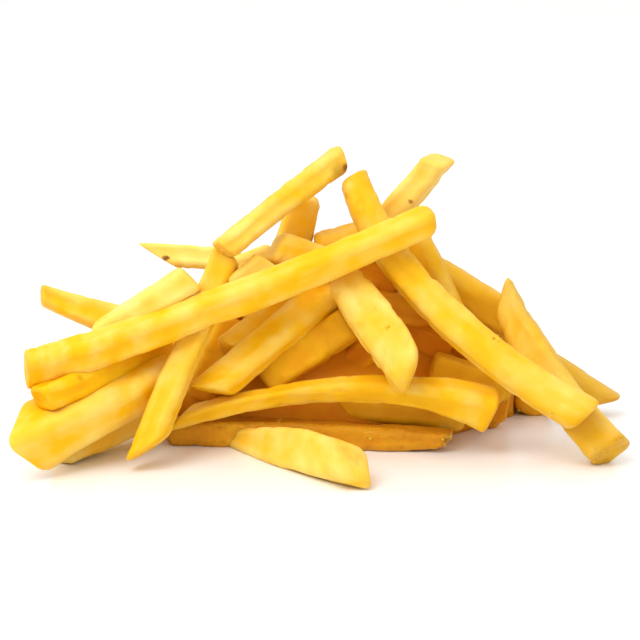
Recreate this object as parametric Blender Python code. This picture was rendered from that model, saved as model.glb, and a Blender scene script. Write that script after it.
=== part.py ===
"""A heap of straight-cut french fries lying loose on a flat surface, built as one fused solid.

The fries that can be told apart from the front are placed one by one. Each end is given as it is seen
from the front: u to the right and v up, in millimetres on an upright plane through the middle of the
heap, and the depth at which that end lies behind the plane. The rest of the heap, behind and under
them, is laid in levels by a rule and then settled, so that its fries rest on each other.

Origin: on the surface under the middle of the heap. +X to the right, +Y to the back, +Z up.
"""

import math

import bmesh
import bpy
import numpy as np

mm = 0.001

# The direction from which the heap is laid out: slightly from above, from a normal viewing distance.
view_elevation = math.radians(14)
view_distance = 750.0
view_height = 33.4

cut_width = 9.0  # a 3/8 inch straight cut, after frying
section_chamfer = 1.9  # how far each long edge is rounded, less on a narrow fry
chamfer_share = 0.22
ring_places = (0.0, 0.05, 0.36, 0.66, 0.95, 1.0)
cap_scale = 0.8  # how much the first and last ring are drawn in, as a rounded edge of the cut end

level_height = 8.7
level_counts = (7, 7, 6, 5, 4)
heap_reach_left = 70.0
heap_reach_right = 44.0
heap_front = 12.0
heap_back = 54.0
outline_peak = 55.0  # the hidden fries stay under a tent of this height and these slopes, seen from the front
outline_middle = 4.0
outline_slope_left = 0.4
outline_slope_right = 0.62
settle_rounds = 90
fusing_allowance = 0.9  # fries are this much thicker than cut, so that those which touch are joined
contact_share = 0.94  # two fries count as touching at this share of their mean width

lowest_point = 0.0  # the heap stands on its flat core and on the flattened undersides of the lowest fries
core_middle = (0.0, 20.0, 0.0)
core_half = (46.0, 26.0, 34.0)


def fry(a, b, wide=cut_width, thick=cut_width, roll=15.0, bow=(0.0, 0.0), cut_a=(0.0, 0.0), cut_b=(0.0, 0.0)):
    """One placed fry: ends as (u, v, depth), sizes in mm, roll of its section in degrees, how far its
    middle bows off the straight line, and how obliquely each end is cut, as rise over run."""
    return dict(a=a, b=b, wide=sizes(wide), thick=sizes(thick), roll=roll, bow=bow, cut_a=cut_a, cut_b=cut_b)


def sizes(given):
    """A size at the start, middle and end of a fry, from one size, from both ends' sizes, or as given."""
    if not isinstance(given, tuple):
        return (given,) * 3
    return given if len(given) == 3 else (given[0], (given[0] + given[1]) / 2, given[1])


def along_curve(s, start, middle, end):
    """The value at share s of the way along a quadratic curve through three given values."""
    return start * (1 - s) * (1 - 2 * s) + middle * 4 * s * (1 - s) + end * s * (2 * s - 1)


placed_fries = {
    # the long one that lies across the front, and what lies on top of the heap
    "long_crossing": fry(
        (-79.6, 19, -30), (30.8, 59.9, -8.2), (9, 8.8, 7.7), (8.8, 7.7),
        32, (-14, -7.2), (0.3, 0.1), (0.1, 0.1),
    ),
    "long_right": fry(
        (9, 71, 8), (72, 6.4, -27), (7.8, 10.6), (8, 9.5),
        -12, (-10.2, -1.6), (0.2, 0), (0, 0.2),
    ),
    "centre_short": fry(
        (5.5, 43.9, -4), (24.8, 16.6, -22.5), (9.4, 11.7, 11), (9.6, 8.2),
        -12, (0.7, 0.4), (0, 0), (-0.65, 0.2),
    ),
    "leaning_left": fry((-46.9, -3, -29), (-25, 50, -5), (7.2, 7.6), 7.3, -14, (0, 0), (-1.4, 0), (0.2, 0)),
    "crest_left": fry(
        (-26.3, 51.2, -10.5), (5.6, 76, 8), (6.2, 7.2), (6.2, 7.2),
        12, (0, 0.2), (-0.3, 0), (0.3, 0.2),
    ),
    "crest_right": fry((13.3, 53.5, 18), (32.3, 76, 17), 7.4, 7.4, -14, (0, 0), (0, 0), (-0.5, -0.3)),
    "crest_stub": fry((-8.8, 48.1, 13), (-3.8, 65.8, 12), (9.6, 8.6), 8.7, 8),
    "pale_left": fry((-61, 26.6, -18), (-34.8, 43.9, -15.5), 7.8, 7.6, 10, (0, 0.4), (0.4, 0), (-0.2, 0)),
    "point_left": fry((-43.7, 49.6, 12), (-21.5, 48.1, 9.5), 6.1, 6.2, -10, (0, 0.2), (-1.9, 0), (0, 0)),
    "far_left": fry(
        (-75.3, 39.1, -13), (-45.9, 29.6, -9.5), (5.2, 9.8), (6, 8.8),
        -8, (0, -0.3), (-0.35, 0), (0, 0),
    ),
    "behind_top": fry((-12.4, 52.2, -1), (2.5, 46.9, 3), 9, 8.6, -12, (0, 0.2), (0.2, 0), (0, 0)),
    "small_top_a": fry((-23.5, 45.3, 7), (-12.4, 49.8, 8), 7.4, 7.4, 0),
    "small_top_b": fry((-23, 40, -9), (-14, 48, -5.5), 8.4, 8, 0, (0, 0), (0, 0), (-0.3, 0)),
    "ledge_top": fry((-1, 51.4, 8), (16.6, 56, 9), 8, 8, 20),
    # the right-hand slope
    "right_leaning": fry(
        (78.8, -3.5, -25), (49.4, 38.9, 5), (11.6, 9.2), 8.6,
        -8, (-2, -1.2), (0, 0.2), (-0.85, 0),
    ),
    "right_inner": fry((22.4, 60.8, 5), (37.4, 28.4, 2), 8.6, 8.6, 10),
    "right_back": fry((26, 48.1, 13.5), (53.5, 31.3, 12.6), 9, 8.5, 16),
    "right_low": fry((38.5, 34.6, 20), (77, 10.3, 23), (8.2, 7.6), 7.6, 14, (0, 0), (0, 0), (1.0, 0)),
    # the middle, under the long one
    "middle_a": fry((-29.4, 13.2, -12.6), (5.4, 42, 4), 8.6, 8.4, -28, (0, 0), (-0.8, 0), (0, 0)),
    "middle_b": fry((-24.3, 24.3, -5), (-1.5, 42.6, 13), 8.4, 8.4, -20, (0, 0), (-0.3, 0), (0, 0)),
    "middle_c": fry((-15.1, 15.9, -2), (8.6, 31.9, 0), 9.4, 8.4, -10),
    "middle_d": fry((4.9, 16.2, 5), (16.2, 28.4, 6), 8.6, 8.6, 0),
    "middle_e": fry((11.3, 36.5, 5), (30, 35, 9), 8.2, 8.2, 16),
    "middle_f": fry((21, 31.9, 13), (35, 24.3, 12), 8.6, 8.6, 10),
    "middle_g": fry((8, 47.4, 12), (21.6, 42, 12), 8.6, 8.6, 10),
    "middle_h": fry((30.2, 20, 4), (50, 14, 5), 8.2, 8.2, 14),
    "middle_i": fry((25.4, 14.6, 8), (40.5, 10.8, 10), 8.4, 8.4, 10),
    "middle_k": fry((28, 33, 20), (46, 15.4, 21), 8.4, 8.4, 10),
    "middle_j": fry((-32.9, 10.8, 0), (-23.2, 32.9, 6), 8.6, 8.6, 0),
    # the foot of the heap
    "foot_arched": fry(
        (-37.8, 6, -9), (46.4, 8.1, -15), (6, 5.8, 10.8), (6, 6, 9.8),
        34, (5, 6.8), (0.9, 0), (0.35, 0.3),
    ),
    "foot_dark": fry(
        (-41, 2.4, -3.5), (34.8, 0.2, -11.5), (8, 8.2, 4.4), (8.4, 6),
        14, (0, 0), (0, 0), (0.7, 0),
    ),
    "foot_front": fry(
        (-22.6, 0.1, -5.5), (9.8, -6.9, -44.5), (5.4, 10.8, 10.2), (6, 8.6),
        -10, (0, 0.4), (0.1, 0), (-0.8, -0.5),
    ),
    "foot_under": fry((4.9, 10, -1), (39.2, 7, -2), 8.4, 8.4, 14, (0, 0), (-0.8, 0), (0, 0)),
    "foot_back": fry((-32, 7.2, 11), (14, 7.2, 12), 8.4, 8.4, 6),
    "foot_right_a": fry((29.7, 11.8, 30), (52.6, 10.1, 25), 9, 9, 14),
    "foot_right_b": fry((48, 19, 57), (58.9, 10.2, 22.5), 9.4, 9.2, 14),
    "foot_left_big": fry(
        (-77, 0.8, -32), (-39.5, 18.6, -10), (15.5, 10.8), (17, 11),
        36, (0, 0), (0, -1.2), (0, 0),
    ),
    "foot_left_mid": fry((-75.4, 10.9, -34.5), (-41.2, 26.4, -5), 7.4, 7.2, 20, (0, 0), (-0.3, 0), (0, 0)),
    "foot_left_low": fry((-70.5, -2.8, -24), (-41.9, 9.4, 5), 8.2, 8, 14),
}


def place(u, v, depth):
    """The point, in mm, that is seen at (u, v) and lies at that depth behind the upright plane."""
    sine, cosine = math.sin(view_elevation), math.cos(view_elevation)
    above_aim = v - view_height * cosine
    rise = (above_aim * (1 + depth * cosine / view_distance) - depth * sine) / (
        cosine + above_aim * sine / view_distance
    )
    away = depth * cosine - rise * sine
    return np.array((u * (1 + away / view_distance), depth, view_height + rise))


def unit(vector):
    return vector / np.linalg.norm(vector)


def fry_rings(spec):
    """The rings of points of one fry: a chamfered rectangle carried along a bowed line, in mm."""
    a, b = spec["start"], spec["end"]
    along = unit(b - a)
    facing = unit(spec["facing"] - along * np.dot(spec["facing"], along))
    side = np.cross(facing, along)
    length = np.linalg.norm(b - a)
    roll = math.radians(spec["roll"])
    rings = []
    for index, s in enumerate(ring_places):
        wide = along_curve(s, *spec["wide"]) + fusing_allowance
        thick = along_curve(s, *spec["thick"]) + fusing_allowance
        chamfer = min(section_chamfer, chamfer_share * min(wide, thick))
        half_w, half_t = wide / 2, thick / 2
        corner = [
            (half_w, half_t - chamfer),
            (half_w - chamfer, half_t),
            (-half_w + chamfer, half_t),
            (-half_w, half_t - chamfer),
            (-half_w, -half_t + chamfer),
            (-half_w + chamfer, -half_t),
            (half_w - chamfer, -half_t),
            (half_w, -half_t + chamfer),
        ]
        scale = cap_scale if index in (0, len(ring_places) - 1) else 1.0
        middle = along_curve(s, a, spec["middle"], b)
        ring = []
        for p, q in corner:
            p, q = p * scale, q * scale
            to_side = p * math.cos(roll) - q * math.sin(roll)
            to_face = p * math.sin(roll) + q * math.cos(roll)
            slide = 0.0
            for cut, at_end in ((spec["cut_a"], 1 - s), (spec["cut_b"], s)):
                reach = max(0.0, at_end * 2 - 1)
                slide += (cut[0] * to_side + cut[1] * to_face) * reach
            slide = np.clip(slide, -0.4 * length, 0.4 * length)
            ring.append(middle + side * to_side + facing * to_face + along * slide)
        rings.append(ring)
    return rings


def add_fry(name, spec, collection):
    """A closed mesh of one fry, as its own object in the collection."""
    shape = bmesh.new()
    rings = [
        [shape.verts.new((x * mm, y * mm, max(z, lowest_point) * mm)) for x, y, z in ring]
        for ring in fry_rings(spec)
    ]
    sides = len(rings[0])
    for near, far in zip(rings, rings[1:]):
        for k in range(sides):
            shape.faces.new((near[k], near[(k + 1) % sides], far[(k + 1) % sides], far[k]))
    shape.faces.new(list(reversed(rings[0])))
    shape.faces.new(rings[-1])
    bmesh.ops.recalc_face_normals(shape, faces=shape.faces)
    mesh = bpy.data.meshes.new(name)
    shape.to_mesh(mesh)
    shape.free()
    collection.objects.link(bpy.data.objects.new(name, mesh))


def front_specs():
    """The placed fries, with their ends worked out as points."""
    toward_viewer = np.array((0.0, -math.cos(view_elevation), math.sin(view_elevation)))
    specs = {}
    for name, given in placed_fries.items():
        start, end = place(*given["a"]), place(*given["b"])
        seen_middle = [(p + q) / 2 for p, q in zip(given["a"], given["b"])]
        straight = place(*seen_middle)
        bowed = place(seen_middle[0] + given["bow"][0], seen_middle[1] + given["bow"][1], seen_middle[2])
        middle = (start + end) / 2 + bowed - straight
        specs[name] = dict(given, start=start, end=end, middle=middle, facing=toward_viewer)
    return specs


def outline_reach(seen_height):
    """How far to the left and right the heap reaches at that height, as seen from the front."""
    drop = max(0.0, outline_peak - seen_height)
    return outline_middle - drop / outline_slope_left, outline_middle + drop / outline_slope_right


def level_specs():
    """The fries behind and under: levels of a pile that narrows upwards, inside the placed fries."""
    draw = np.random.default_rng(11)
    specs = {}
    for level, count in enumerate(level_counts):
        z = cut_width / 2 + level * level_height
        back = heap_back - 0.8 * z
        for k in range(count):
            y = heap_front + (back - heap_front) * (k + 0.5) / count + draw.uniform(-2, 2)
            seen = z * math.cos(view_elevation) + (y + 6) * math.sin(view_elevation) + cut_width / 2
            left, right = outline_reach(seen)
            left, right = max(left, -heap_reach_left), min(right, heap_reach_right)
            turn = math.radians(draw.normal(0, 34))
            across, away = abs(math.cos(turn)), abs(math.sin(turn))
            length = min(draw.uniform(50, 95), (right - left) * 0.9 / across, (back - heap_front) / away)
            if length < 22:
                continue
            x = draw.uniform(left + across * length / 2, right - across * length / 2)
            y = np.clip(y, heap_front + away * length / 2, back - away * length / 2)
            half = np.array((math.cos(turn), math.sin(turn), 0.0)) * length / 2
            middle = np.array((x, y, z))
            wide, thick = draw.uniform(7.8, 9.8), draw.uniform(7.8, 9.4)
            specs[f"level_{level}_{k}"] = dict(
                start=middle - half, end=middle + half, wide=sizes(wide), thick=sizes(thick),
                roll=draw.uniform(-12, 12), cut_a=(draw.uniform(-0.7, 0.7), 0.0),
                cut_b=(draw.uniform(-0.7, 0.7), 0.0), facing=np.array((0.0, 0.0, 1.0)),
            )
    return specs


def nearest(p0, p1, q0, q1):
    """For each pair of segments, how far along each of them their nearest points lie."""
    d1, d2, r = p1 - p0, q1 - q0, p0 - q0
    a, e, f = (d1 * d1).sum(-1), (d2 * d2).sum(-1), (d2 * r).sum(-1)
    b, c = (d1 * d2).sum(-1), (d1 * r).sum(-1)
    s = np.clip((b * f - c * e) / np.maximum(a * e - b * b, 1e-9), 0, 1)
    t = np.clip((b * s + f) / e, 0, 1)
    s = np.clip((b * t - c) / a, 0, 1)
    return s, t


def settle(moving, fixed):
    """Lets the level fries sink a little each round and pushes them off each other, the placed fries and
    the surface, so that they rest without lying inside one another."""
    everything = list(moving.values()) + list(fixed.values())
    ends = np.array([(spec["start"], spec["end"]) for spec in everything])
    size = np.array([(sum(spec["wide"]) + sum(spec["thick"])) / 6 for spec in everything])
    free = len(moving)
    pair_size = (size[:free, None] + size[None, :]) / 2 * contact_share
    for _ in range(settle_rounds):
        ends[:free, :, 2] -= 0.12
        p0, p1 = ends[:free, None, 0], ends[:free, None, 1]
        q0, q1 = ends[None, :, 0], ends[None, :, 1]
        s, t = nearest(*np.broadcast_arrays(p0, p1, q0, q1))
        gap = p0 + (p1 - p0) * s[..., None] - q0 - (q1 - q0) * t[..., None]
        distance = np.sqrt((gap * gap).sum(-1)) + 1e-6
        overlap = np.maximum(0, pair_size - distance)
        overlap[np.arange(free), np.arange(free)] = 0
        push = gap / distance[..., None] * overlap[..., None] * 0.28
        ends[:free, 0] += (push * (1 - s)[..., None]).sum(1)
        ends[:free, 1] += (push * s[..., None]).sum(1)
        ends[:free, :, 2] = np.maximum(ends[:free, :, 2], size[:free, None] / 2)
    for spec, (start, end) in zip(moving.values(), ends[:free]):
        spec["start"], spec["end"], spec["middle"] = start, end, (start + end) / 2


def add_core():
    """The filled middle of the heap: a low mound inside the fries, flat where it lies on the surface."""
    shape = bmesh.new()
    bmesh.ops.create_icosphere(shape, subdivisions=2, radius=1.0)
    for vert in shape.verts:
        middle, half = np.array(core_middle), np.array(core_half)
        vert.co = (middle + half * np.array((vert.co.x, vert.co.y, max(vert.co.z, 0.0)))) * mm
    mesh = bpy.data.meshes.new("fries_heap")
    shape.to_mesh(mesh)
    shape.free()
    core = bpy.data.objects.new("fries_heap", mesh)
    bpy.context.scene.collection.objects.link(core)
    return core


def fuse(core, pieces):
    """Joins the core and every piece into one body, and keeps only its outer skin."""
    join = core.modifiers.new("join", "BOOLEAN")
    join.operation = "UNION"
    join.operand_type = "COLLECTION"
    join.solver = "EXACT"
    join.collection = pieces
    joined = core.evaluated_get(bpy.context.evaluated_depsgraph_get())
    mesh = bpy.data.meshes.new_from_object(joined)
    core.modifiers.clear()
    core.data = mesh
    for piece in list(pieces.objects):
        bpy.data.objects.remove(piece)
    bpy.data.collections.remove(pieces)
    shape = bmesh.new()
    shape.from_mesh(mesh)
    bmesh.ops.remove_doubles(shape, verts=shape.verts, dist=0.000001)
    bmesh.ops.dissolve_degenerate(shape, dist=0.000001, edges=shape.edges)
    bodies = loose_bodies(shape)
    outer = max(bodies, key=lambda faces: sum(face.calc_area() for face in faces))
    spare = [face for faces in bodies if faces is not outer for face in faces]
    bmesh.ops.delete(shape, geom=spare, context="FACES")
    bmesh.ops.triangulate(shape, faces=shape.faces)
    shape.to_mesh(mesh)
    shape.free()


def loose_bodies(shape):
    """The faces of the mesh, grouped by which of them hang together."""
    waiting = set(shape.faces)
    bodies = []
    while waiting:
        body = []
        edge_of_body = [waiting.pop()]
        while edge_of_body:
            face = edge_of_body.pop()
            body.append(face)
            for edge in face.edges:
                for other in edge.link_faces:
                    if other in waiting:
                        waiting.remove(other)
                        edge_of_body.append(other)
        bodies.append(body)
    return bodies


def main():
    for old in list(bpy.data.objects):
        bpy.data.objects.remove(old)
    pieces = bpy.data.collections.new("pieces")
    bpy.context.scene.collection.children.link(pieces)
    placed, levels = front_specs(), level_specs()
    settle(levels, placed)
    for name, spec in {**placed, **levels}.items():
        add_fry(name, spec, pieces)
    core = add_core()
    fuse(core, pieces)
    potato = bpy.data.materials.new("fried_potato")
    potato.use_nodes = True
    surface = potato.node_tree.nodes["Principled BSDF"]
    surface.inputs["Base Color"].default_value = (0.87, 0.55, 0.12, 1.0)
    surface.inputs["Roughness"].default_value = 0.5
    core.data.materials.clear()
    core.data.materials.append(potato)


if __name__ == "__main__":
    main()
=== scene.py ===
import math

import bpy
import numpy as np
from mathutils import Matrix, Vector


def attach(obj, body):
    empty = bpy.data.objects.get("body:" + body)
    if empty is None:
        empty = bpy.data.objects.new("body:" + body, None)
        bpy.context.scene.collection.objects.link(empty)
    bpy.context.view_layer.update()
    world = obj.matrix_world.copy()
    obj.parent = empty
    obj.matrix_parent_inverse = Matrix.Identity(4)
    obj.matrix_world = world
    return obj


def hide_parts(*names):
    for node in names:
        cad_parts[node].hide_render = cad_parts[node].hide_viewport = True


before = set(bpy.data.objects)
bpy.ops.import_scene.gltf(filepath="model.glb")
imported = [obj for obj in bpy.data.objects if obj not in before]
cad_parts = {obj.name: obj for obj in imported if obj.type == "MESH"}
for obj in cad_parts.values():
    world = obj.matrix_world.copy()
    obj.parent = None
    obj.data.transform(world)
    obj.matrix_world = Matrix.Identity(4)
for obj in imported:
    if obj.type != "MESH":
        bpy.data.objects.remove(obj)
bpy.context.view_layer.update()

mm = 0.001

# A loose heap of straight-cut french fries. Sizes are in mm here, and become metres in the meshes.
# The layout is the solid model's: fries that can be told apart from the front are placed by (u, v, depth),
# the others are laid in levels behind and under them, and settled.

view = dict(elevation=14.0, distance=750.0, height=33.4, frameWidth=172.8, sensor=36.0)
elevation = math.radians(view["elevation"])
towardViewer = np.array((0.0, -math.cos(elevation), math.sin(elevation)))


def fry(a, b, wide=9.0, thick=9.0, roll=15.0, bow=(0.0, 0.0), cutA=(0.0, 0.0), cutB=(0.0, 0.0)):
    # ends as (u, v, depth), sizes, roll of the section in degrees, how far the middle bows off the
    # straight line, and how obliquely each end is cut, as rise over run
    return dict(a=a, b=b, wide=sizes(wide), thick=sizes(thick), roll=roll, bow=bow, cutA=cutA, cutB=cutB)


def sizes(given):
    # a size at the start, middle and end, from one size, from both ends' sizes, or as given
    if not isinstance(given, tuple):
        return (given,) * 3
    return given if len(given) == 3 else (given[0], (given[0] + given[1]) / 2, given[1])


topFries = {
    "long_crossing": fry(
        (-79.6, 19, -30), (30.8, 59.9, -8.2), (9, 8.8, 7.7), (8.8, 7.7),
        32, (-14, -7.2), (0.3, 0.1), (0.1, 0.1),
    ),
    "long_right": fry(
        (9, 71, 8), (72, 6.4, -27), (7.8, 10.6), (8, 9.5),
        -12, (-10.2, -1.6), (0.2, 0), (0, 0.2),
    ),
    "centre_short": fry(
        (5.5, 43.9, -4), (24.8, 16.6, -22.5), (9.4, 11.7, 11), (9.6, 8.2),
        -12, (0.7, 0.4), (0, 0), (-0.65, 0.2),
    ),
    "leaning_left": fry((-46.9, -3, -29), (-25, 50, -5), (7.2, 7.6), 7.3, -14, (0, 0), (-1.4, 0), (0.2, 0)),
    "crest_left": fry(
        (-26.3, 51.2, -10.5), (5.6, 76, 8), (6.2, 7.2), (6.2, 7.2),
        12, (0, 0.2), (-0.3, 0), (0.3, 0.2),
    ),
    "crest_right": fry((13.3, 53.5, 18), (32.3, 76, 17), 7.4, 7.4, -14, (0, 0), (0, 0), (-0.5, -0.3)),
    "crest_stub": fry((-8.8, 48.1, 13), (-3.8, 65.8, 12), (9.6, 8.6), 8.7, 8),
    "pale_left": fry((-61, 26.6, -18), (-34.8, 43.9, -15.5), 7.8, 7.6, 10, (0, 0.4), (0.4, 0), (-0.2, 0)),
    "point_left": fry((-43.7, 49.6, 12), (-21.5, 48.1, 9.5), 6.1, 6.2, -10, (0, 0.2), (-1.9, 0), (0, 0)),
    "far_left": fry(
        (-75.3, 39.1, -13), (-45.9, 29.6, -9.5), (5.2, 9.8), (6, 8.8),
        -8, (0, -0.3), (-0.35, 0), (0, 0),
    ),
    "behind_top": fry((-12.4, 52.2, -1), (2.5, 46.9, 3), 9, 8.6, -12, (0, 0.2), (0.2, 0), (0, 0)),
    "small_top_a": fry((-23.5, 45.3, 7), (-12.4, 49.8, 8), 7.4, 7.4, 0),
    "small_top_b": fry((-23, 40, -9), (-14, 48, -5.5), 8.4, 8, 0, (0, 0), (0, 0), (-0.3, 0)),
    "ledge_top": fry((-1, 51.4, 8), (16.6, 56, 9), 8, 8, 20),
}
middleFries = {
    "right_leaning": fry(
        (78.8, -3.5, -25), (49.4, 38.9, 5), (11.6, 9.2), 8.6,
        -8, (-2, -1.2), (0, 0.2), (-0.85, 0),
    ),
    "right_inner": fry((22.4, 60.8, 5), (37.4, 28.4, 2), 8.6, 8.6, 10),
    "right_back": fry((26, 48.1, 13.5), (53.5, 31.3, 12.6), 9, 8.5, 16),
    "right_low": fry((38.5, 34.6, 20), (77, 10.3, 23), (8.2, 7.6), 7.6, 14, (0, 0), (0, 0), (1.0, 0)),
    "middle_a": fry((-29.4, 13.2, -12.6), (5.4, 42, 4), 8.6, 8.4, -28, (0, 0), (-0.8, 0), (0, 0)),
    "middle_b": fry((-24.3, 24.3, -5), (-1.5, 42.6, 13), 8.4, 8.4, -20, (0, 0), (-0.3, 0), (0, 0)),
    "middle_c": fry((-15.1, 15.9, -2), (8.6, 31.9, 0), 9.4, 8.4, -10),
    "middle_d": fry((4.9, 16.2, 5), (16.2, 28.4, 6), 8.6, 8.6, 0),
    "middle_e": fry((11.3, 36.5, 5), (30, 35, 9), 8.2, 8.2, 16),
    "middle_f": fry((21, 31.9, 13), (35, 24.3, 12), 8.6, 8.6, 10),
    "middle_g": fry((8, 47.4, 12), (21.6, 42, 12), 8.6, 8.6, 10),
    "middle_h": fry((30.2, 20, 4), (50, 14, 5), 8.2, 8.2, 14),
    "middle_i": fry((25.4, 14.6, 8), (40.5, 10.8, 10), 8.4, 8.4, 10),
    "middle_k": fry((28, 33, 20), (46, 15.4, 21), 8.4, 8.4, 10),
    "middle_j": fry((-32.9, 10.8, 0), (-23.2, 32.9, 6), 8.6, 8.6, 0),
}
footFries = {
    "foot_arched": fry(
        (-37.8, 6, -9), (46.4, 8.1, -15), (6, 5.8, 10.8), (6, 6, 9.8),
        34, (5, 6.8), (0.9, 0), (0.35, 0.3),
    ),
    "foot_dark": fry(
        (-41, 2.4, -3.5), (34.8, 0.2, -11.5), (8, 8.2, 4.4), (8.4, 6),
        14, (0, 0), (0, 0), (0.7, 0),
    ),
    "foot_front": fry(
        (-22.6, 0.1, -5.5), (9.8, -6.9, -44.5), (5.4, 10.8, 10.2), (6, 8.6),
        -10, (0, 0.4), (0.1, 0), (-0.8, -0.5),
    ),
    "foot_under": fry((4.9, 10, -1), (39.2, 7, -2), 8.4, 8.4, 14, (0, 0), (-0.8, 0), (0, 0)),
    "foot_back": fry((-32, 7.2, 11), (14, 7.2, 12), 8.4, 8.4, 6),
    "foot_right_a": fry((29.7, 11.8, 30), (52.6, 10.1, 25), 9, 9, 14),
    "foot_right_b": fry((48, 19, 57), (58.9, 10.2, 22.5), 9.4, 9.2, 14),
    "foot_left_big": fry(
        (-77, 0.8, -32), (-39.5, 18.6, -10), (15.5, 10.8), (17, 11),
        36, (0, 0), (0, -1.2), (0, 0),
    ),
    "foot_left_mid": fry((-75.4, 10.9, -34.5), (-41.2, 26.4, -5), 7.4, 7.2, 20, (0, 0), (-0.3, 0), (0, 0)),
    "foot_left_low": fry((-70.5, -2.8, -24), (-41.9, 9.4, 5), 8.2, 8, 14),
}

# how each placed fry looks: tint 0 is pale and 1 deep golden, and the deep tints of the fries down in the
# gaps are painted shade; ochre 1 is dull brownish, and on the fries at the right, away from the light, it is
# partly painted shade; brown is how toasted its ends and edges are, crust how toasted it is all over, on
# foot_dark partly painted shade; ragged how torn its edges are, blunt how rounded its ends are; the hidden
# fries draw their own
fryLooks = {
    "long_crossing": dict(tintAndPaintedLight=0.46, brown=0.4, blunt=1.3),
    "long_right": dict(tintAndPaintedLight=0.46, brown=0.5, ragged=1.2),
    "centre_short": dict(tintAndPaintedLight=0.36, brown=0.4, ragged=2.2, blunt=2.0),
    "leaning_left": dict(tintAndPaintedLight=0.46, brown=0.3),
    "crest_left": dict(tintAndPaintedLight=0.38, brown=0.4),
    "crest_right": dict(tintAndPaintedLight=0.26, ochreAndPaintedShade=0.1, brown=0.4),
    "crest_stub": dict(tintAndPaintedLight=0.42, ochreAndPaintedShade=0.0, brown=0.2),
    "pale_left": dict(tintAndPaintedLight=0.24, ochreAndPaintedShade=0.0, brown=0.2),
    "point_left": dict(tintAndPaintedLight=0.18, ochreAndPaintedShade=0.0, brown=0.4),
    "far_left": dict(tintAndPaintedLight=0.42, brown=0.5),
    "behind_top": dict(tintAndPaintedLight=0.30, brown=0.2),
    "small_top_a": dict(tintAndPaintedLight=0.22, ochreAndPaintedShade=0.0, brown=0.2),
    "small_top_b": dict(tintAndPaintedLight=0.28, brown=0.2),
    "ledge_top": dict(tintAndPaintedLight=0.45, brown=0.2),
    # painted shade: the fries at the right are partly dulled towards ochre, for the side of the heap away
    # from the light
    "right_leaning": dict(tintAndPaintedLight=0.40, ochreAndPaintedShade=0.5, brown=0.6, ragged=1.4),
    "right_inner": dict(tintAndPaintedLight=0.60, ochreAndPaintedShade=0.3, brown=0.3),
    "right_back": dict(tintAndPaintedLight=0.50, ochreAndPaintedShade=0.5, brown=0.4),
    "right_low": dict(tintAndPaintedLight=0.40, ochreAndPaintedShade=0.8, brown=0.5),
    "middle_a": dict(tintAndPaintedLight=0.48, ochreAndPaintedShade=0.0, brown=0.3),
    "middle_b": dict(tintAndPaintedLight=0.42, ochreAndPaintedShade=0.0, brown=0.3),
    "middle_c": dict(tintAndPaintedLight=0.65, ochreAndPaintedShade=0.2, brown=0.6, ragged=1.5),
    # painted shade: the deep tints from here to middle_k darken the fries that lie down in the gaps of the
    # middle
    "middle_d": dict(tintAndPaintedLight=0.95, brown=0.4),
    "middle_e": dict(tintAndPaintedLight=0.95, brown=0.3),
    "middle_f": dict(tintAndPaintedLight=1.10, brown=0.4),
    "middle_g": dict(tintAndPaintedLight=1.05, brown=0.3),
    "middle_h": dict(tintAndPaintedLight=0.66, brown=0.4),
    "middle_i": dict(tintAndPaintedLight=0.95, brown=0.4),
    "middle_j": dict(tintAndPaintedLight=0.70, brown=0.3),
    "middle_k": dict(tintAndPaintedLight=1.15, brown=0.5),
    "foot_arched": dict(tintAndPaintedLight=0.50, ochreAndPaintedShade=0.15, brown=0.4, ragged=1.3),
    # painted shade: foot_dark's deep tint, dullness, crust and part of its browning stand for the shadow
    # under foot_arched
    "foot_dark": dict(tintAndPaintedLight=0.85, ochreAndPaintedShade=0.4, brown=0.9, crustAndPaintedShade=0.35, ragged=2.0, blunt=1.6),
    "foot_front": dict(tintAndPaintedLight=0.30, ochreAndPaintedShade=0.1, brown=0.5, blunt=1.5),
    # painted shade: the deep, dull tints of the hidden fries at the foot stand for the shadow they lie in
    "foot_under": dict(tintAndPaintedLight=0.60, ochreAndPaintedShade=0.3, brown=0.4),
    "foot_back": dict(tintAndPaintedLight=1.05, brown=0.5),
    "foot_right_a": dict(tintAndPaintedLight=1.00, ochreAndPaintedShade=0.5, brown=0.6),
    "foot_right_b": dict(tintAndPaintedLight=0.75, ochreAndPaintedShade=0.3, brown=0.4),
    "foot_left_big": dict(tintAndPaintedLight=0.42, ochreAndPaintedShade=0.0, brown=0.3, blunt=0.8),
    "foot_left_mid": dict(tintAndPaintedLight=0.62, ochreAndPaintedShade=0.0, brown=0.4),
    "foot_left_low": dict(tintAndPaintedLight=0.30, ochreAndPaintedShade=0.1, brown=0.3),
}
pile = dict(
    cutWidth=9.0, levelHeight=8.7, levelCounts=(7, 7, 6, 5, 4), reachLeft=70.0, reachRight=44.0,
    front=12.0, back=54.0, backSlope=0.8, peak=55.0, middle=4.0, slopeLeft=0.4, slopeRight=0.62,
    turn=34, length=(50, 95), shortest=22, wide=(7.8, 9.8), thick=(7.8, 9.4), roll=(-12, 12), cut=(-0.7, 0.7),
    rounds=90, sinkStep=0.12, pushShare=0.28, contactShare=0.94, floorGap=0.04,
)


def place(u, v, depth):
    # the point seen at (u, v) that lies at that depth behind the upright plane through the heap
    sine, cosine = math.sin(elevation), math.cos(elevation)
    aboveAim = v - view["height"] * cosine
    rise = (aboveAim * (1 + depth * cosine / view["distance"]) - depth * sine) / (
        cosine + aboveAim * sine / view["distance"]
    )
    away = depth * cosine - rise * sine
    return np.array((u * (1 + away / view["distance"]), depth, view["height"] + rise))


def placedSpecs(layout):
    # turns the ends of placed fries into points; the bow moves only the middle
    specs = {}
    for name, given in layout.items():
        start, end = place(*given["a"]), place(*given["b"])
        seen = [(p + q) / 2 for p, q in zip(given["a"], given["b"])]
        bowed = place(seen[0] + given["bow"][0], seen[1] + given["bow"][1], seen[2])
        middle = (start + end) / 2 + bowed - place(*seen)
        specs[name] = dict(given, start=start, end=end, middle=middle, facing=towardViewer)
        specs[name].update(fryLooks.get(name, {}))
    return specs


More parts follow.
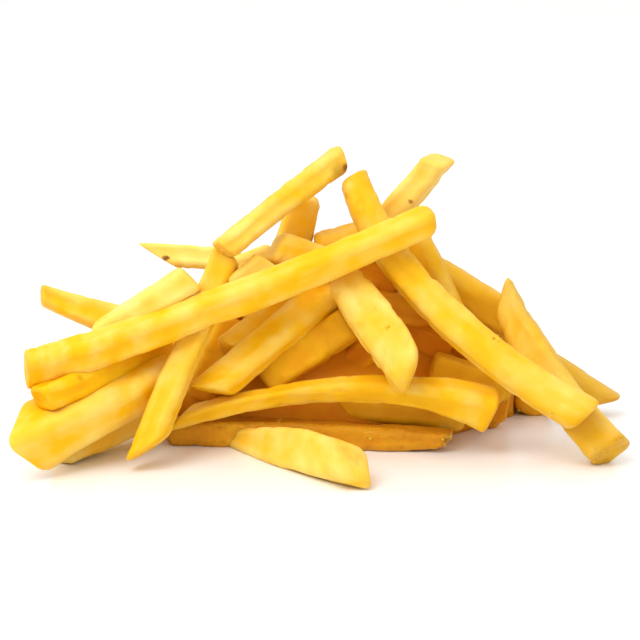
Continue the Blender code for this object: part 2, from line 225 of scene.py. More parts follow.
def levelSpecs():
    # hidden fries in levels, each level narrower than the one below, under a tent seen from the front
    draw = np.random.default_rng(11)
    specs = {}
    for level, count in enumerate(pile["levelCounts"]):
        z = pile["cutWidth"] / 2 + level * pile["levelHeight"]
        back = pile["back"] - pile["backSlope"] * z
        for k in range(count):
            y = pile["front"] + (back - pile["front"]) * (k + 0.5) / count + draw.uniform(-2, 2)
            seen = z * math.cos(elevation) + (y + 6) * math.sin(elevation) + pile["cutWidth"] / 2
            drop = max(0.0, pile["peak"] - seen)
            left = max(pile["middle"] - drop / pile["slopeLeft"], -pile["reachLeft"])
            right = min(pile["middle"] + drop / pile["slopeRight"], pile["reachRight"])
            turn = math.radians(draw.normal(0, pile["turn"]))
            across, away = abs(math.cos(turn)), abs(math.sin(turn))
            room = min((right - left) * 0.9 / across, (back - pile["front"]) / away)
            length = min(draw.uniform(*pile["length"]), room)
            if length < pile["shortest"]:
                continue
            x = draw.uniform(left + across * length / 2, right - across * length / 2)
            y = np.clip(y, pile["front"] + away * length / 2, back - away * length / 2)
            half = np.array((math.cos(turn), math.sin(turn), 0.0)) * length / 2
            centre = np.array((x, y, z))
            wide, thick = draw.uniform(*pile["wide"]), draw.uniform(*pile["thick"])
            specs[f"level_{level}_{k}"] = dict(
                start=centre - half, end=centre + half, wide=sizes(wide), thick=sizes(thick),
                roll=draw.uniform(*pile["roll"]), cutA=(draw.uniform(*pile["cut"]), 0.0),
                cutB=(draw.uniform(*pile["cut"]), 0.0), facing=np.array((0.0, 0.0, 1.0)),
            )
    return specs


def nearest(p0, p1, q0, q1):
    # how far along each of two segments their nearest points lie, for whole arrays of pairs
    d1, d2, r = p1 - p0, q1 - q0, p0 - q0
    a, e, f = (d1 * d1).sum(-1), (d2 * d2).sum(-1), (d2 * r).sum(-1)
    b, c = (d1 * d2).sum(-1), (d1 * r).sum(-1)
    s = np.clip((b * f - c * e) / np.maximum(a * e - b * b, 1e-9), 0, 1)
    t = np.clip((b * s + f) / e, 0, 1)
    return np.clip((b * t - c) / a, 0, 1), t


def settle(moving, fixed):
    # each round the moving fries sink a little, and are pushed off each other, the placed fries and the
    # floor
    everything = list(moving.values()) + list(fixed.values())
    ends = np.array([(spec["start"], spec["end"]) for spec in everything])
    size = np.array([(sum(spec["wide"]) + sum(spec["thick"])) / 6 for spec in everything])
    free = len(moving)
    pairSize = (size[:free, None] + size[None, :]) / 2 * pile["contactShare"]
    for _ in range(pile["rounds"]):
        ends[:free, :, 2] -= pile["sinkStep"]
        p0, p1, q0, q1 = ends[:free, None, 0], ends[:free, None, 1], ends[None, :, 0], ends[None, :, 1]
        s, t = nearest(*np.broadcast_arrays(p0, p1, q0, q1))
        gap = p0 + (p1 - p0) * s[..., None] - q0 - (q1 - q0) * t[..., None]
        distance = np.sqrt((gap * gap).sum(-1)) + 1e-6
        overlap = np.maximum(0, pairSize - distance)
        overlap[np.arange(free), np.arange(free)] = 0
        push = gap / distance[..., None] * overlap[..., None] * pile["pushShare"]
        ends[:free, 0] += (push * (1 - s)[..., None]).sum(1)
        ends[:free, 1] += (push * s[..., None]).sum(1)
        ends[:free, :, 2] = np.maximum(ends[:free, :, 2], size[:free, None] / 2)
    for spec, (start, end) in zip(moving.values(), ends[:free]):
        spec["start"], spec["end"], spec["middle"] = start, end, (start + end) / 2


def latticeNoise(points, cell, seed):
    # smooth value noise in -1..1: random values on a cubic lattice of that cell size, blended between
    # its corners
    q = points / cell
    base = np.floor(q).astype(np.int64)
    f = q - base
    f = f * f * (3 - 2 * f)
    total = np.zeros(points.shape[:-1])
    for corner in np.ndindex(2, 2, 2):
        h = ((base[..., 0] + corner[0]) * 73856093) ^ ((base[..., 1] + corner[1]) * 19349663)
        h = h ^ ((base[..., 2] + corner[2]) * 83492791) ^ (seed * 2654435)
        h = (h ^ (h >> 13)) * 1274126177 & 0x7FFFFFFF
        value = (h ^ (h >> 16)) % 65536 / 32767.5 - 1
        total += value * np.prod(np.where(corner, f, 1 - f), axis=-1)
    return total


def alongCurve(s, start, middle, end):
    # the value at share s along a quadratic curve through three given values
    return start * ((1 - s) * (1 - 2 * s)) + middle * (4 * s * (1 - s)) + end * (s * (2 * s - 1))


# radii as shares of the section's size, depths and cell sizes in mm
relief = dict(
    edgeRadius=0.29, edgeSpread=(0.7, 1.25), edgeSway=0.3, edgeSwayCell=12.0, endRadius=0.17,
    endSpread=(0.7, 1.4), fadeLength=2.5, faceSink=0.34, faceSinkCell=19.0,
    lump=0.26, lumpCell=12.0, dent=0.09, dentCell=4.6,
    wrinkle=0.05, wrinkleCell=1.9, blister=0.45, blisterCell=3.6, nick=0.34, nickCell=2.4,
    blisterFrom=0.45, nickFrom=0.1, sway=0.4, swayCell=30.0, endWobble=0.5, endCell=3.6, sizeSway=0.04,
    sizeSwayCell=15.0, ragged=0.8,
)
# how toasted the ends, edges and blisters are, how far the ends' browning reaches, how much paler the edges
# are painted, a painted highlight along the ridges, and between which values a fry without looks of its own
# draws them
browning = dict(
    endReach=5.0, end=0.7, endCell=5.0, edge=0.35, edgeCell=7.0, blister=0.6, edgeHighlight=0.07, highlightCell=9.0,
    brown=(0.2, 0.7), tintAndPaintedLight=(0.35, 0.85), ochreAndPaintedShade=(0.0, 0.3),
)


def sectionRings(wide, thick, radius, cornerSteps, flatSteps):
    # Rounded rectangles, one ring of points for each row: every corner is a quarter circle of its own
    # radius, and the points of a flat face lie evenly between two corners. Also gives the direction in
    # which each point faces, how near it is to the middle of a face, and how near to an edge.
    signs = np.array(((1, 1), (-1, 1), (-1, -1), (1, -1)))
    angle = np.radians(90 * np.arange(4)[:, None] + 90 * np.arange(cornerSteps + 1)[None, :] / cornerSteps)
    turned = np.stack((np.cos(angle), np.sin(angle)), -1)
    half = np.stack((wide, thick), -1)[:, None, :] / 2
    middles = signs[None, :, :] * (half - radius[:, :, None])
    corners = middles[:, :, None, :] + turned[None] * radius[:, :, None, None]
    t = (np.arange(1, flatSteps + 1) / (flatSteps + 1))[None, None, :, None]
    flats = corners[:, :, -1:, :] * (1 - t) + np.roll(corners, -1, axis=1)[:, :, :1, :] * t
    points = np.concatenate((corners, flats), axis=2).reshape(len(wide), -1, 2)
    facing = np.concatenate((turned, np.repeat(turned[:, -1:], flatSteps, axis=1)), axis=1).reshape(-1, 2)
    t = t.ravel()
    sink = np.tile(np.concatenate((np.zeros(cornerSteps + 1), 1 - (2 * t - 1) ** 2)), 4)
    edge = np.tile(np.concatenate((np.ones(cornerSteps + 1), np.clip(abs(2 * t - 1) * 2 - 1.1, 0, 1))), 4)
    return points, facing, sink, edge


def tubeFaces(rings, sides):
    # four-sided faces between neighbouring rings, and three-sided ones to a point beyond each end ring
    i, k = np.meshgrid(np.arange(rings - 1), np.arange(sides), indexing="ij")
    k2 = (k + 1) % sides
    here, beyond = i * sides, (i + 1) * sides
    quads = np.stack((here + k, here + k2, beyond + k2, beyond + k), -1).reshape(-1, 4)
    k = np.arange(sides)
    k2 = (k + 1) % sides
    last = (rings - 1) * sides
    firstTip = np.full(sides, rings * sides)
    firstFan = np.stack((firstTip, k2, k), -1)
    lastFan = np.stack((firstTip + 1, last + k, last + k2), -1)
    return quads, np.concatenate((firstFan, lastFan))


def fryMesh(spec, number, cornerSteps, flatSteps, spacing):
    # One fry: rounded rectangles carried along a bowed line. Near each end the rings draw in by a quarter
    # circle to round off the cut, then shrink to the middle of the cut face. Lumps, dents, blisters,
    # wrinkles and nicked edges move each point along the direction in which it faces.
    start, middle, end = spec["start"], spec["middle"], spec["end"]
    length = np.linalg.norm(end - start)
    along = (end - start) / length
    facing = spec["facing"] - along * np.dot(spec["facing"], along)
    facing /= np.linalg.norm(facing)
    side = np.cross(facing, along)
    draw = np.random.default_rng(100 + number)
    shift = draw.uniform(0, 900, 3)
    ragged = spec.get("ragged", relief["ragged"])
    # rings: place along the fry, how far the outline is drawn in, and the share of the cut face's size
    endRadius = relief["endRadius"] * draw.uniform(*relief["endSpread"], 2) * spec.get("blunt", 1.0)
    endRadius *= np.minimum(spec["wide"], spec["thick"])[[0, 2]]
    bodyCount = max(8, int(length / spacing))
    quarter = np.radians((90, 68, 46, 24, 8))
    faceShare = np.array((0.12, 0.40, 0.70, 0.90))
    rise, inset = 1 - np.sin(quarter), 1 - np.cos(quarter)
    lead, none = np.zeros(4), np.zeros(bodyCount)
    body = np.linspace(endRadius[0], length - endRadius[1], bodyCount)
    axial = np.concatenate((
        lead, endRadius[0] * rise, body, length - endRadius[1] * rise[::-1], lead + length,
    ))
    drawnIn = np.concatenate((
        lead + endRadius[0], endRadius[0] * inset, none, endRadius[1] * inset[::-1], lead + endRadius[1],
    ))
    share = np.concatenate((faceShare, np.ones(10 + bodyCount), faceShare[::-1]))
    onFace = np.concatenate((-np.ones(4), np.zeros(10 + bodyCount), np.ones(4)))
    s = axial / length
    # section sizes and the radius of each long edge, all slowly uneven
    line = np.stack((axial, np.full_like(axial, 11.0), np.full_like(axial, 5.0)), -1) + shift
    wideSway = 1 + relief["sizeSway"] * latticeNoise(line, relief["sizeSwayCell"], 1)
    thickSway = 1 + relief["sizeSway"] * latticeNoise(line, relief["sizeSwayCell"], 2)
    wide = alongCurve(s, *spec["wide"]) * wideSway
    thick = alongCurve(s, *spec["thick"]) * thickSway
    small = np.minimum(wide, thick)
    edgeSway = [relief["edgeSway"] * latticeNoise(line, relief["edgeSwayCell"], 30 + k) for k in range(4)]
    radius = np.stack([
        small * np.clip(relief["edgeRadius"] * (base + sway), 0.1, 0.45)
        for base, sway in zip(draw.uniform(*relief["edgeSpread"], 4), edgeSway)
    ], -1)
    section, outward, sink, edge = sectionRings(wide, thick, radius, cornerSteps, flatSteps)
    shrink = (1 - 2 * drawnIn[:, None] / np.stack((wide, thick), -1)) * share[:, None]
    p = section[..., 0] * shrink[:, None, 0]
    q = section[..., 1] * shrink[:, None, 1]
    sides = p.shape[1]
    local = np.stack((np.broadcast_to(axial[:, None], p.shape), p, q), -1)
    grain = local + shift
    # relief of the skin
    toEnd = np.minimum(axial, length - axial)
    fade = np.clip(toEnd / relief["fadeLength"], 0, 1)[:, None] * share[:, None] ** 2
    blister = latticeNoise(grain, relief["blisterCell"], 5) - relief["blisterFrom"]
    blister = np.clip(blister, 0, 1) * relief["blister"]
    nick = latticeNoise(grain, relief["nickCell"], 6) - relief["nickFrom"]
    nick = np.clip(nick, 0, 1) * relief["nick"] * edge[None, :]
    out = latticeNoise(grain, relief["lumpCell"], 3) * relief["lump"]
    out += latticeNoise(grain, relief["dentCell"], 13) * relief["dent"]
    out += latticeNoise(grain * (1.0, 1.4, 1.4), relief["wrinkleCell"], 4) * relief["wrinkle"]
    out += blister - nick * ragged * 1.5
    hollow = 0.6 + 0.8 * latticeNoise(grain, relief["faceSinkCell"], 7)
    out -= relief["faceSink"] * hollow * sink[None, :]
    p = p + outward[None, :, 0] * out * fade
    q = q + outward[None, :, 1] * out * fade
    # the cut faces are a little uneven
    wobble = latticeNoise(grain, relief["endCell"], 8) + 0.5 * latticeNoise(grain, 1.7, 18) - 0.5
    lengthwise = axial[:, None] + onFace[:, None] * relief["endWobble"] * wobble * (1 - share[:, None] ** 3)
    # turn the section, then slide its points along the fry for an oblique cut
    roll = math.radians(spec["roll"])
    toSide = p * math.cos(roll) - q * math.sin(roll)
    toFace = p * math.sin(roll) + q * math.cos(roll)
    slideA = spec["cutA"][0] * toSide + spec["cutA"][1] * toFace
    slideB = spec["cutB"][0] * toSide + spec["cutB"][1] * toFace
    slide = slideA * np.clip(1 - 2 * s, 0, 1)[:, None] + slideB * np.clip(2 * s - 1, 0, 1)[:, None]
    slide = np.clip(slide, -0.4 * length, 0.4 * length) + lengthwise - axial[:, None]
    # the bowed line through start, middle and end, with a slight sway
    sway = np.sin(np.pi * s) * relief["sway"]
    centre = alongCurve(s[:, None], start, middle, end)
    centre = centre + side * (sway * latticeNoise(line, relief["swayCell"], 9))[:, None]
    centre = centre + facing * (sway * latticeNoise(line, relief["swayCell"], 10))[:, None]
    points = centre[:, None, :] + side * toSide[..., None] + facing * toFace[..., None]
    points = points + along * slide[..., None]
    vertices = np.concatenate((points.reshape(-1, 3), points[0].mean(0)[None], points[-1].mean(0)[None]))
    quads, fans = tubeFaces(len(axial), sides)
    # colour guides: how toasted each point is, the fry's tint and dullness, both partly painted shade, with
    # the tint lowered along the edges as a painted highlight, and where its skin pattern lies
    nearEnd = np.clip(1 - toEnd / browning["endReach"], 0, 1)[:, None] ** 2
    toast = browning["end"] * nearEnd * (0.6 + 0.6 * latticeNoise(grain, browning["endCell"], 14))
    patches = np.clip(0.3 + latticeNoise(grain, browning["edgeCell"], 11), 0, 1)
    toast = toast + browning["edge"] * edge[None, :] * patches
    # crust browns the whole fry; on foot_dark it is partly painted shade
    toast = np.clip(toast + browning["blister"] * blister + spec.get("crustAndPaintedShade", 0.0), 0, 1)
    toast = toast * spec.get("brown", draw.uniform(*browning["brown"]))
    # the edges are painted paler, in patches from noise: a painted highlight along the ridges
    paintedHighlight = 1 + latticeNoise(grain, browning["highlightCell"], 15)
    paintedHighlight = browning["edgeHighlight"] * edge[None, :] * fade * paintedHighlight
    tintAndPaintedLight = spec.get("tintAndPaintedLight", draw.uniform(*browning["tintAndPaintedLight"])) - paintedHighlight
    tips = np.concatenate((grain[0].mean(0)[None], grain[-1].mean(0)[None]))
    guides = dict(
        toast=np.concatenate((toast.ravel(), toast[0, :1], toast[-1, :1])),
        tintAndPaintedLight=np.concatenate((tintAndPaintedLight.ravel(), tintAndPaintedLight[0, :1], tintAndPaintedLight[-1, :1])),
        ochreAndPaintedShade=np.full(len(vertices), spec.get("ochreAndPaintedShade", draw.uniform(*browning["ochreAndPaintedShade"]))),
        grain=np.concatenate((grain.reshape(-1, 3), tips)),
    )
    return vertices, quads, fans, guides


def joinedPiece(name, parts):
    # several closed meshes as one piece, with its points kept above the floor
    counts = np.array([len(part[0]) for part in parts])
    offsets = np.cumsum(counts) - counts
    vertices = np.concatenate([part[0] for part in parts])
    vertices[:, 2] = np.maximum(vertices[:, 2], pile["floorGap"])
    faceSets = [(faces, offset) for part, offset in zip(parts, offsets) for faces in part[1:3]]
    loops = np.concatenate([(faces + offset).ravel() for faces, offset in faceSets])
    totals = np.concatenate([np.full(len(faces), faces.shape[1]) for faces, _ in faceSets])
    mesh = meshFromArrays(name, vertices * mm, loops, totals)
    for key in ("toast", "tintAndPaintedLight", "ochreAndPaintedShade"):
        layer = mesh.attributes.new(key, "FLOAT", "POINT")
        layer.data.foreach_set("value", np.concatenate([part[3][key] for part in parts]).astype(np.float32))
    layer = mesh.attributes.new("grain", "FLOAT_VECTOR", "POINT")
    grain = np.concatenate([part[3]["grain"] for part in parts]) * mm
    layer.data.foreach_set("vector", grain.astype(np.float32).ravel())
    piece = bpy.data.objects.new(name, mesh)
    bpy.context.scene.collection.objects.link(piece)
    print(name, len(parts), "bodies,", int((totals - 2).sum()), "triangles")
    return piece


def meshFromArrays(name, vertices, loops, totals):
    mesh = bpy.data.meshes.new(name)
    mesh.vertices.add(len(vertices))
    mesh.vertices.foreach_set("co", vertices.astype(np.float32).ravel())
    mesh.loops.add(len(loops))
    mesh.loops.foreach_set("vertex_index", loops.astype(np.int32))
    mesh.polygons.add(len(totals))
    mesh.polygons.foreach_set("loop_start", (np.cumsum(totals) - totals).astype(np.int32))
    mesh.polygons.foreach_set("use_smooth", np.ones(len(totals), bool))
    mesh.update(calc_edges=True)
    return mesh


# the mound's deep tint is painted shade: through the gaps it shows as fries in deep shadow
core = dict(middle=(0.0, 20.0, 0.0), half=(46.0, 26.0, 34.0), around=96, up=40, lump=1.2, tintAndPaintedLight=1.0)


def coreMound():
    # a dome: rings of an ellipse that shrink by the cosine as they rise by the sine, with lumps
    t = np.linspace(0, 0.49 * math.pi, core["up"])[:, None]
    angle = np.linspace(0, 2 * math.pi, core["around"], endpoint=False)[None, :]
    level = np.zeros_like(t * angle)
    outward = np.stack((np.cos(angle) + level, np.sin(angle) + level), -1)
    plan = np.array(core["half"][:2]) * outward * np.cos(t)[..., None] + np.array(core["middle"][:2])
    points = np.concatenate((plan, (core["half"][2] * np.sin(t) + level)[..., None]), axis=-1)
    lump = latticeNoise(points, 7.0, 21) * core["lump"] * np.sin(2 * t)
    points[..., :2] += outward * lump[..., None]
    tips = np.array(((*core["middle"][:2], 0.0), (*core["middle"][:2], core["half"][2])))
    vertices = np.concatenate((points.reshape(-1, 3), tips))
    quads, fans = tubeFaces(core["up"], core["around"])
    count = len(vertices)
    # painted shade: the mound is coloured as deep gold fries in shadow
    guides = dict(toast=np.full(count, 0.1), tintAndPaintedLight=np.full(count, core["tintAndPaintedLight"]), ochreAndPaintedShade=np.full(count, 0.2),
                  grain=vertices)
    return vertices, quads, fans, guides


# fries that cover the mound at its sides and back: each row's height, count of fries and the angle where
# it starts (0 is right, 90 the back), where all rows stop, how far the fries sink in or stand out, and the
# values between which each draws its sizes and tint
mantle = dict(
    rows=((4.8, 7, -25), (13.2, 7, -18), (21.6, 5, 18), (29.0, 3, 35)), stop=162.0, sunk=2.2, showing=5.5,
    length=(30.0, 44.0), turn=0.2, tilt=0.1, wide=(7.8, 9.6), thick=(7.8, 9.2), roll=(-12, 12),
    tintAndPaintedLight=(0.5, 0.95), cut=(-0.6, 0.6),
)


def mantleSpecs():
    # each lies along the ellipse at its row's height, and every third one points straight out of it
    draw = np.random.default_rng(7)
    half, middle = core["half"], core["middle"]
    specs = {}
    for row, (z, count, first) in enumerate(mantle["rows"]):
        shrink = math.sqrt(1 - (z / half[2]) ** 2)
        for k in range(count):
            angle = first + (mantle["stop"] - first) * (k + draw.uniform(0.2, 0.8)) / count
            angle = math.radians(angle)
            outward = np.array((math.cos(angle) / half[0], math.sin(angle) / half[1], 0.0))
            outward /= np.linalg.norm(outward)
            across = np.array((-outward[1], outward[0], 0.0))
            plan = np.array((math.cos(angle), math.sin(angle))) * half[:2] * shrink
            shell = np.array((*(plan + middle[:2]), z))
            length = draw.uniform(*mantle["length"])
            along, other, depth = across, outward, mantle["sunk"]
            if (row + k) % 3 == 0:
                along, other, depth = outward, across, length / 2 - mantle["showing"]
            centre = shell - outward * depth
            along = along + other * draw.normal(0, mantle["turn"])
            along = along + np.array((0.0, 0.0, draw.normal(0, mantle["tilt"])))
            reach = along / np.linalg.norm(along) * length / 2
            specs[f"mantle_{row}_{k}"] = dict(
                start=centre - reach, middle=centre, end=centre + reach,
                wide=sizes(draw.uniform(*mantle["wide"])), thick=sizes(draw.uniform(*mantle["thick"])),
                roll=draw.uniform(*mantle["roll"]), tintAndPaintedLight=draw.uniform(*mantle["tintAndPaintedLight"]),
                cutA=(draw.uniform(*mantle["cut"]), 0.0), cutB=(draw.uniform(*mantle["cut"]), 0.0),
                facing=np.array((0.0, 0.0, 1.0)),
            )
    return specs


# torn bits of crust that cling to the fries: where each cluster is seen, as (u, v), how widely it spreads,
# how many bits it has, how large they are, all in mm, and how brown they are
crumbs = dict(
    clusters=(
        ((35.1, 0.8), 2.0, 10, 0.7, 0.8), ((61.6, 6.2), 1.0, 3, 0.5, 0.5),
        ((75.6, -4.9), 2.2, 6, 0.6, 0.5), ((48.6, 28.6), 1.6, 4, 0.35, 0.3),
        ((-11.3, 8.1), 2.0, 6, 0.45, 0.1), ((11.9, 0.8), 3.5, 7, 0.35, 0.3),
        ((14.5, 35.0), 1.2, 4, 0.35, 0.1), ((18.5, 30.5), 1.4, 4, 0.35, 0.1),
        ((2.7, 27.0), 1.6, 3, 0.4, 0.1), ((53.5, 7.6), 1.2, 3, 0.45, 0.6),
    ),
    sink=0.3, reach=1.6, tintAndPaintedLight=0.4, across=12, upward=7,
)


def seenPoint(cloud, u, v):
    # the point of the cloud that is nearest to the viewer among those within reach of the line of sight
    eye = np.array((0.0, 0.0, view["height"])) + towardViewer * view["distance"]
    sight = place(u, v, 0.0) - eye
    sight /= np.linalg.norm(sight)
    away = (cloud - eye) @ sight
    aside = np.linalg.norm(cloud - eye - away[:, None] * sight, axis=1)
    return cloud[np.argmin(np.where(aside < crumbs["reach"], away + aside, np.inf))]


def crumbBodies(cloud):
    # each crumb: rings of a ball, squashed differently along each axis and lumpy, on the surface that it
    # clings to
    draw = np.random.default_rng(29)
    bodies = []
    polar = np.linspace(0, math.pi, crumbs["upward"] + 2)[1:-1, None]
    angle = np.linspace(0, 2 * math.pi, crumbs["across"], endpoint=False)[None, :]
    ball = np.stack(np.broadcast_arrays(
        np.sin(polar) * np.cos(angle), np.sin(polar) * np.sin(angle), -np.cos(polar),
    ), -1)
    ball = np.concatenate((ball.reshape(-1, 3), ((0, 0, -1), (0, 0, 1))))
    quads, fans = tubeFaces(crumbs["upward"], crumbs["across"])
    for (u, v), spread, count, size, brown in crumbs["clusters"]:
        for _ in range(count):
            du, dv = draw.normal(0, spread / 2, 2)
            where = seenPoint(cloud, u + du, v + dv)
            shape = ball * draw.uniform(0.55, 1.25, 3) * size * draw.uniform(0.6, 1.2)
            shape = shape * (1 + 0.35 * latticeNoise(shape + where, 0.7 * size, 5))[:, None]
            vertices = shape + where - towardViewer * crumbs["sink"] * size
            full = np.ones(len(vertices))
            bodies.append((vertices, quads, fans, dict(
                toast=full * brown * draw.uniform(0.2, 1.4), tintAndPaintedLight=full * crumbs["tintAndPaintedLight"],
                ochreAndPaintedShade=full * draw.uniform(0, 0.5), grain=vertices,
            )))
    return bodies


def linear(hexColour):
    # an sRGB hex colour as linear RGBA
    parts = [int(hexColour[i:i + 2], 16) / 255 for i in (1, 3, 5)]
    return (*[c / 12.92 if c <= 0.04045 else ((c + 0.055) / 1.055) ** 2.4 for c in parts], 1.0)


def node(tree, kind, links=None, **settings):
    # adds a node, sets its properties and inputs, and links its inputs to other nodes' outputs
    made = tree.nodes.new(kind)
    for key, value in settings.items():
        if key.startswith("in_"):
            name = key[3:].replace("_", " ")
            made.inputs[int(name) if name.isdigit() else name].default_value = value
        else:
            setattr(made, key, value)
    for target, source in (links or {}).items():
        tree.links.new(source, made.inputs[target])
    return made


# dark spots in the skin: where each is seen, as (u, v), its half size in mm and how dark it is
darkSpots = (
    ((-41.9, 49.4), 0.75, 0.9), ((-41.0, 49.1), 0.6, 0.8), ((24.6, 64.5), 0.6, 0.7),
    ((19.2, 61.6), 0.55, 0.5), ((-64.8, 17.3), 0.9, 0.35), ((5.9, 72.6), 2.4, 0.4),
    ((8.2, 73.0), 1.0, 0.8), ((47.4, 28.8), 0.5, 0.4), ((35.2, -0.4), 0.8, 0.5),
)
# deep is the gold that the fries in the gaps and the core take on as painted shade; ochre dulls the fries at
# the right, partly as painted shade
potato = dict(
    pale="#F8E080", golden="#F5BD0C", deep="#E08800", ochreAndPaintedShade="#D8A52E", toasted="#AC681C", burnt="#7A4012",
    mottleMm=8.0, mottleShare=0.38, patchMm=14.0, toastMm=1.3, toastGain=1.6,
    spotRaggedMm=0.9, spotTearsPerMetre=900.0,
    roughness=0.44, roughnessSpread=0.12, ior=1.45, specular=0.24, specularTint="#FFE9B0",
    subsurface=0.30, subsurfaceMm=2.0, grainMm=0.50, creaseMm=1.1, bumpMm=0.09, bumpStrength=0.45,
)


def friedPotato(cloud):
    # potato, cut straight, fried in oil: a thin dry golden skin over pale flesh that light soaks into,
    # with a faint oily sheen in patches, fine wrinkles, and browned ends, blisters and torn edges
    material = bpy.data.materials.new("fried_potato_skin")
    material.use_nodes = True
    tree = material.node_tree
    surface = tree.nodes["Principled BSDF"]
    where = node(tree, "ShaderNodeTexCoord").outputs["Object"]
    grain = node(tree, "ShaderNodeAttribute", attribute_name="grain").outputs["Vector"]
    tintAndPaintedLight = node(tree, "ShaderNodeAttribute", attribute_name="tintAndPaintedLight").outputs["Fac"]
    ochreAndPaintedShade = node(tree, "ShaderNodeAttribute", attribute_name="ochreAndPaintedShade").outputs["Fac"]
    toast = node(tree, "ShaderNodeAttribute", attribute_name="toast").outputs["Fac"]
    # the fry's tint, made uneven by soft mottling: pale to golden, then golden to deep; the deep end is also
    # painted shade on the fries in the gaps, and the paler edges are a painted highlight
    mottle = node(tree, "ShaderNodeTexNoise", {"Vector": grain}, in_Detail=2.0,
                  in_Scale=1000 / potato["mottleMm"])
    uneven = node(tree, "ShaderNodeMapRange", {0: mottle.outputs[0]}, in_1=0.25, in_2=0.75,
                  in_3=-potato["mottleShare"] / 2, in_4=potato["mottleShare"] / 2)
    depth = node(tree, "ShaderNodeMath", {0: tintAndPaintedLight, 1: uneven.outputs[0]}, operation="ADD")
    lower = node(tree, "ShaderNodeMapRange", {0: depth.outputs[0]}, in_2=0.5)
    upper = node(tree, "ShaderNodeMapRange", {0: depth.outputs[0]}, in_1=0.5)
    skin = node(tree, "ShaderNodeMix", {0: lower.outputs[0]}, data_type="RGBA",
                in_6=linear(potato["pale"]), in_7=linear(potato["golden"]))
    skin = node(tree, "ShaderNodeMix", {0: upper.outputs[0], 6: skin.outputs[2]}, data_type="RGBA",
                in_7=linear(potato["deep"]))
    # dulled towards ochre: partly the fry's own dull tone, partly painted shade on the fries away from the
    # light
    skin = node(tree, "ShaderNodeMix", {0: ochreAndPaintedShade, 6: skin.outputs[2]}, data_type="RGBA",
                in_7=linear(potato["ochreAndPaintedShade"]))
    # browning: the toast guide, broken up by fine noise
    broken = node(tree, "ShaderNodeTexNoise", {"Vector": grain}, in_Detail=4.0,
                  in_Scale=1000 / potato["toastMm"])
    browned = node(tree, "ShaderNodeMath", {0: broken.outputs[0], 1: toast}, operation="MULTIPLY")
    browned = node(tree, "ShaderNodeMath", {0: browned.outputs[0]}, operation="MULTIPLY", use_clamp=True,
                   in_1=potato["toastGain"])
    skin = node(tree, "ShaderNodeMix", {0: browned.outputs[0], 6: skin.outputs[2]}, data_type="RGBA",
                in_7=linear(potato["toasted"]))
    # dark spots, each a blurred and ragged ball round the place where it is seen
    jitter = potato["spotRaggedMm"] * mm
    torn = node(tree, "ShaderNodeTexNoise", {"Vector": where}, in_Detail=1.0,
                in_Scale=potato["spotTearsPerMetre"])
    torn = node(tree, "ShaderNodeVectorMath", {0: torn.outputs["Color"], 2: where},
                operation="MULTIPLY_ADD", in_1=(jitter, jitter, jitter))
    for (u, v), size, darkness in darkSpots:
        spot = Vector(seenPoint(cloud, u, v) * mm + jitter / 2)
        gap = node(tree, "ShaderNodeVectorMath", {0: torn.outputs[0]}, operation="DISTANCE", in_1=spot)
        fade = node(tree, "ShaderNodeMapRange", {0: gap.outputs["Value"]}, interpolation_type="SMOOTHSTEP",
                    in_1=0.5 * size * mm, in_2=1.5 * size * mm, in_3=darkness, in_4=0.0)
        skin = node(tree, "ShaderNodeMix", {0: fade.outputs[0], 6: skin.outputs[2]}, data_type="RGBA",
                    in_7=linear(potato["burnt"]))
    tree.links.new(skin.outputs[2], surface.inputs["Base Color"])
    # oily sheen in broad patches
    patch = node(tree, "ShaderNodeTexNoise", {"Vector": grain}, in_Detail=1.0,
                 in_Scale=1000 / potato["patchMm"])
    rough = node(tree, "ShaderNodeMapRange", {0: patch.outputs[0]}, in_1=0.3, in_2=0.7,
                 in_3=potato["roughness"] - potato["roughnessSpread"],
                 in_4=potato["roughness"] + potato["roughnessSpread"])
    tree.links.new(rough.outputs[0], surface.inputs["Roughness"])
    surface.inputs["IOR"].default_value = potato["ior"]
    surface.inputs["Specular IOR Level"].default_value = potato["specular"]
    surface.inputs["Specular Tint"].default_value = linear(potato["specularTint"])
    surface.inputs["Subsurface Weight"].default_value = potato["subsurface"]
    surface.inputs["Subsurface Radius"].default_value = (1.0, 0.55, 0.12)
    surface.inputs["Subsurface Scale"].default_value = potato["subsurfaceMm"] * mm
    fine = node(tree, "ShaderNodeTexNoise", {"Vector": grain}, in_Detail=2.0,
                in_Scale=1000 / potato["grainMm"])
    crease = node(tree, "ShaderNodeTexNoise", {"Vector": grain}, in_Detail=2.0, in_Distortion=0.6,
                  in_Scale=1000 / potato["creaseMm"])
    height = node(tree, "ShaderNodeMath", {0: fine.outputs[0], 1: crease.outputs[0]}, operation="ADD")
    bump = node(tree, "ShaderNodeBump", {"Height": height.outputs[0]}, in_Strength=potato["bumpStrength"],
                in_Distance=potato["bumpMm"] * mm)
    tree.links.new(bump.outputs[0], surface.inputs["Normal"])
    return material


studio = dict(
    skyHorizon=0.52, skyTop=1.48, keyPower=2.6, keySize=0.40, keyPlace=(-0.30, -0.34, 0.58),
    floorSize=8.0, floorColour="#FAFAF9", floorRoughness=0.30, floorMirror=0.08,
)


def softLight(name, place, size, power, aim=(0.0, 0.0, 0.03)):
    light = bpy.data.lights.new(name, "AREA")
    light.shape = "SQUARE"
    light.size = size
    light.energy = power
    lamp = bpy.data.objects.new(name, light)
    lamp.location = place
    lamp.rotation_euler = (Vector(aim) - Vector(place)).to_track_quat("-Z", "Y").to_euler()
    bpy.context.scene.collection.objects.link(lamp)


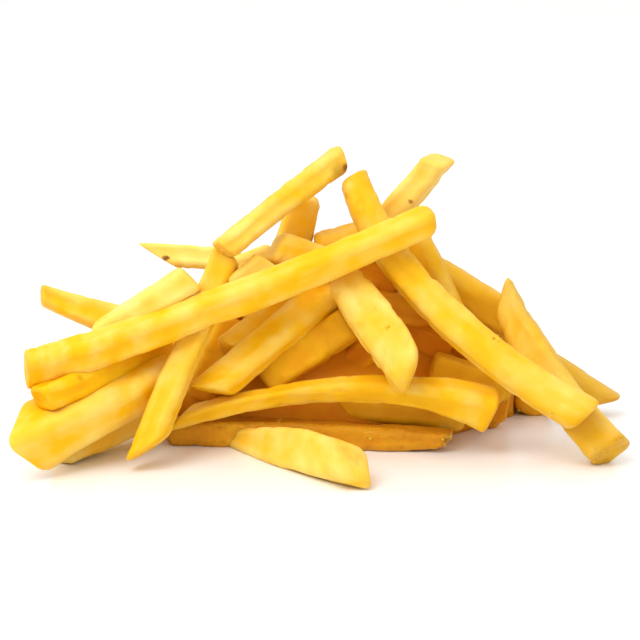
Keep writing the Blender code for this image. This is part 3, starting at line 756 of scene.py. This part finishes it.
def studioFloor():
    half = studio["floorSize"] / 2
    corners = np.array(((-half, -half, 0), (half, -half, 0), (half, half, 0), (-half, half, 0)))
    mesh = meshFromArrays("floor", corners, np.arange(4), np.array((4,)))
    floor = bpy.data.objects.new("floor", mesh)
    bpy.context.scene.collection.objects.link(floor)
    material = bpy.data.materials.new("white_paper_sweep")
    material.use_nodes = True
    surface = material.node_tree.nodes["Principled BSDF"]
    surface.inputs["Base Color"].default_value = linear(studio["floorColour"])
    surface.inputs["Roughness"].default_value = studio["floorRoughness"]
    surface.inputs["Metallic"].default_value = studio["floorMirror"]
    mesh.materials.append(material)


def studioSetup():
    scene = bpy.context.scene
    camera = bpy.data.cameras.new("camera")
    camera.sensor_width = view["sensor"]
    camera.lens = view["sensor"] * view["distance"] / view["frameWidth"]
    camera.clip_start = 0.01
    eye = bpy.data.objects.new("camera", camera)
    aim = Vector((0.0, 0.0, view["height"])) * mm
    back = Vector(tuple(towardViewer))
    eye.location = aim + back * view["distance"] * mm
    eye.rotation_euler = (-back).to_track_quat("-Z", "Y").to_euler()
    scene.collection.objects.link(eye)
    scene.camera = eye
    scene.view_settings.view_transform = "Standard"
    world = bpy.data.worlds.new("white_studio")
    world.use_nodes = True
    tree = world.node_tree
    direction = node(tree, "ShaderNodeTexCoord").outputs["Generated"]
    height = node(tree, "ShaderNodeSeparateXYZ", {0: direction}).outputs["Z"]
    strength = node(tree, "ShaderNodeMapRange", {0: height},
                    in_3=studio["skyHorizon"], in_4=studio["skyTop"])
    sky = tree.nodes["Background"]
    sky.inputs["Color"].default_value = (1.0, 1.0, 1.0, 1.0)
    tree.links.new(strength.outputs[0], sky.inputs["Strength"])
    scene.world = world
    softLight("key_softbox", studio["keyPlace"], studio["keySize"], studio["keyPower"])
    studioFloor()


studioSetup()
print("camera, light and floor")

groups = dict(
    fries_top=placedSpecs(topFries),
    fries_middle=placedSpecs(middleFries),
    fries_foot=placedSpecs(footFries),
)
placed = {name: spec for specs in groups.values() for name, spec in specs.items()}
groups["fries_under"] = levelSpecs()
settle(groups["fries_under"], placed)
groups["fries_inner"] = mantleSpecs()
print("layout settled,", len(groups["fries_under"]), "hidden fries")

# steps round each edge and across each face, and the spacing of rings in mm
meshDetail = dict(
    fries_top=(4, 7, 0.65), fries_middle=(4, 7, 0.65), fries_foot=(4, 7, 0.65), fries_under=(3, 4, 1.1),
    fries_inner=(3, 4, 1.1),
)
pieces, clouds = [], []
for name, specs in groups.items():
    firstNumber = 40 * len(pieces)
    parts = [fryMesh(spec, firstNumber + k, *meshDetail[name]) for k, spec in enumerate(specs.values())]
    clouds += [part[0] for part in parts]
    pieces.append(joinedPiece(name, parts))
cloud = np.concatenate(clouds)
pieces.append(joinedPiece("heap_core", [coreMound()]))
pieces.append(joinedPiece("crumbs", crumbBodies(cloud)))
skin = friedPotato(cloud)
for piece in pieces:
    piece.data.materials.append(skin)
    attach(piece, "root")
    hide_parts("fries_heap")
print("pieces made")
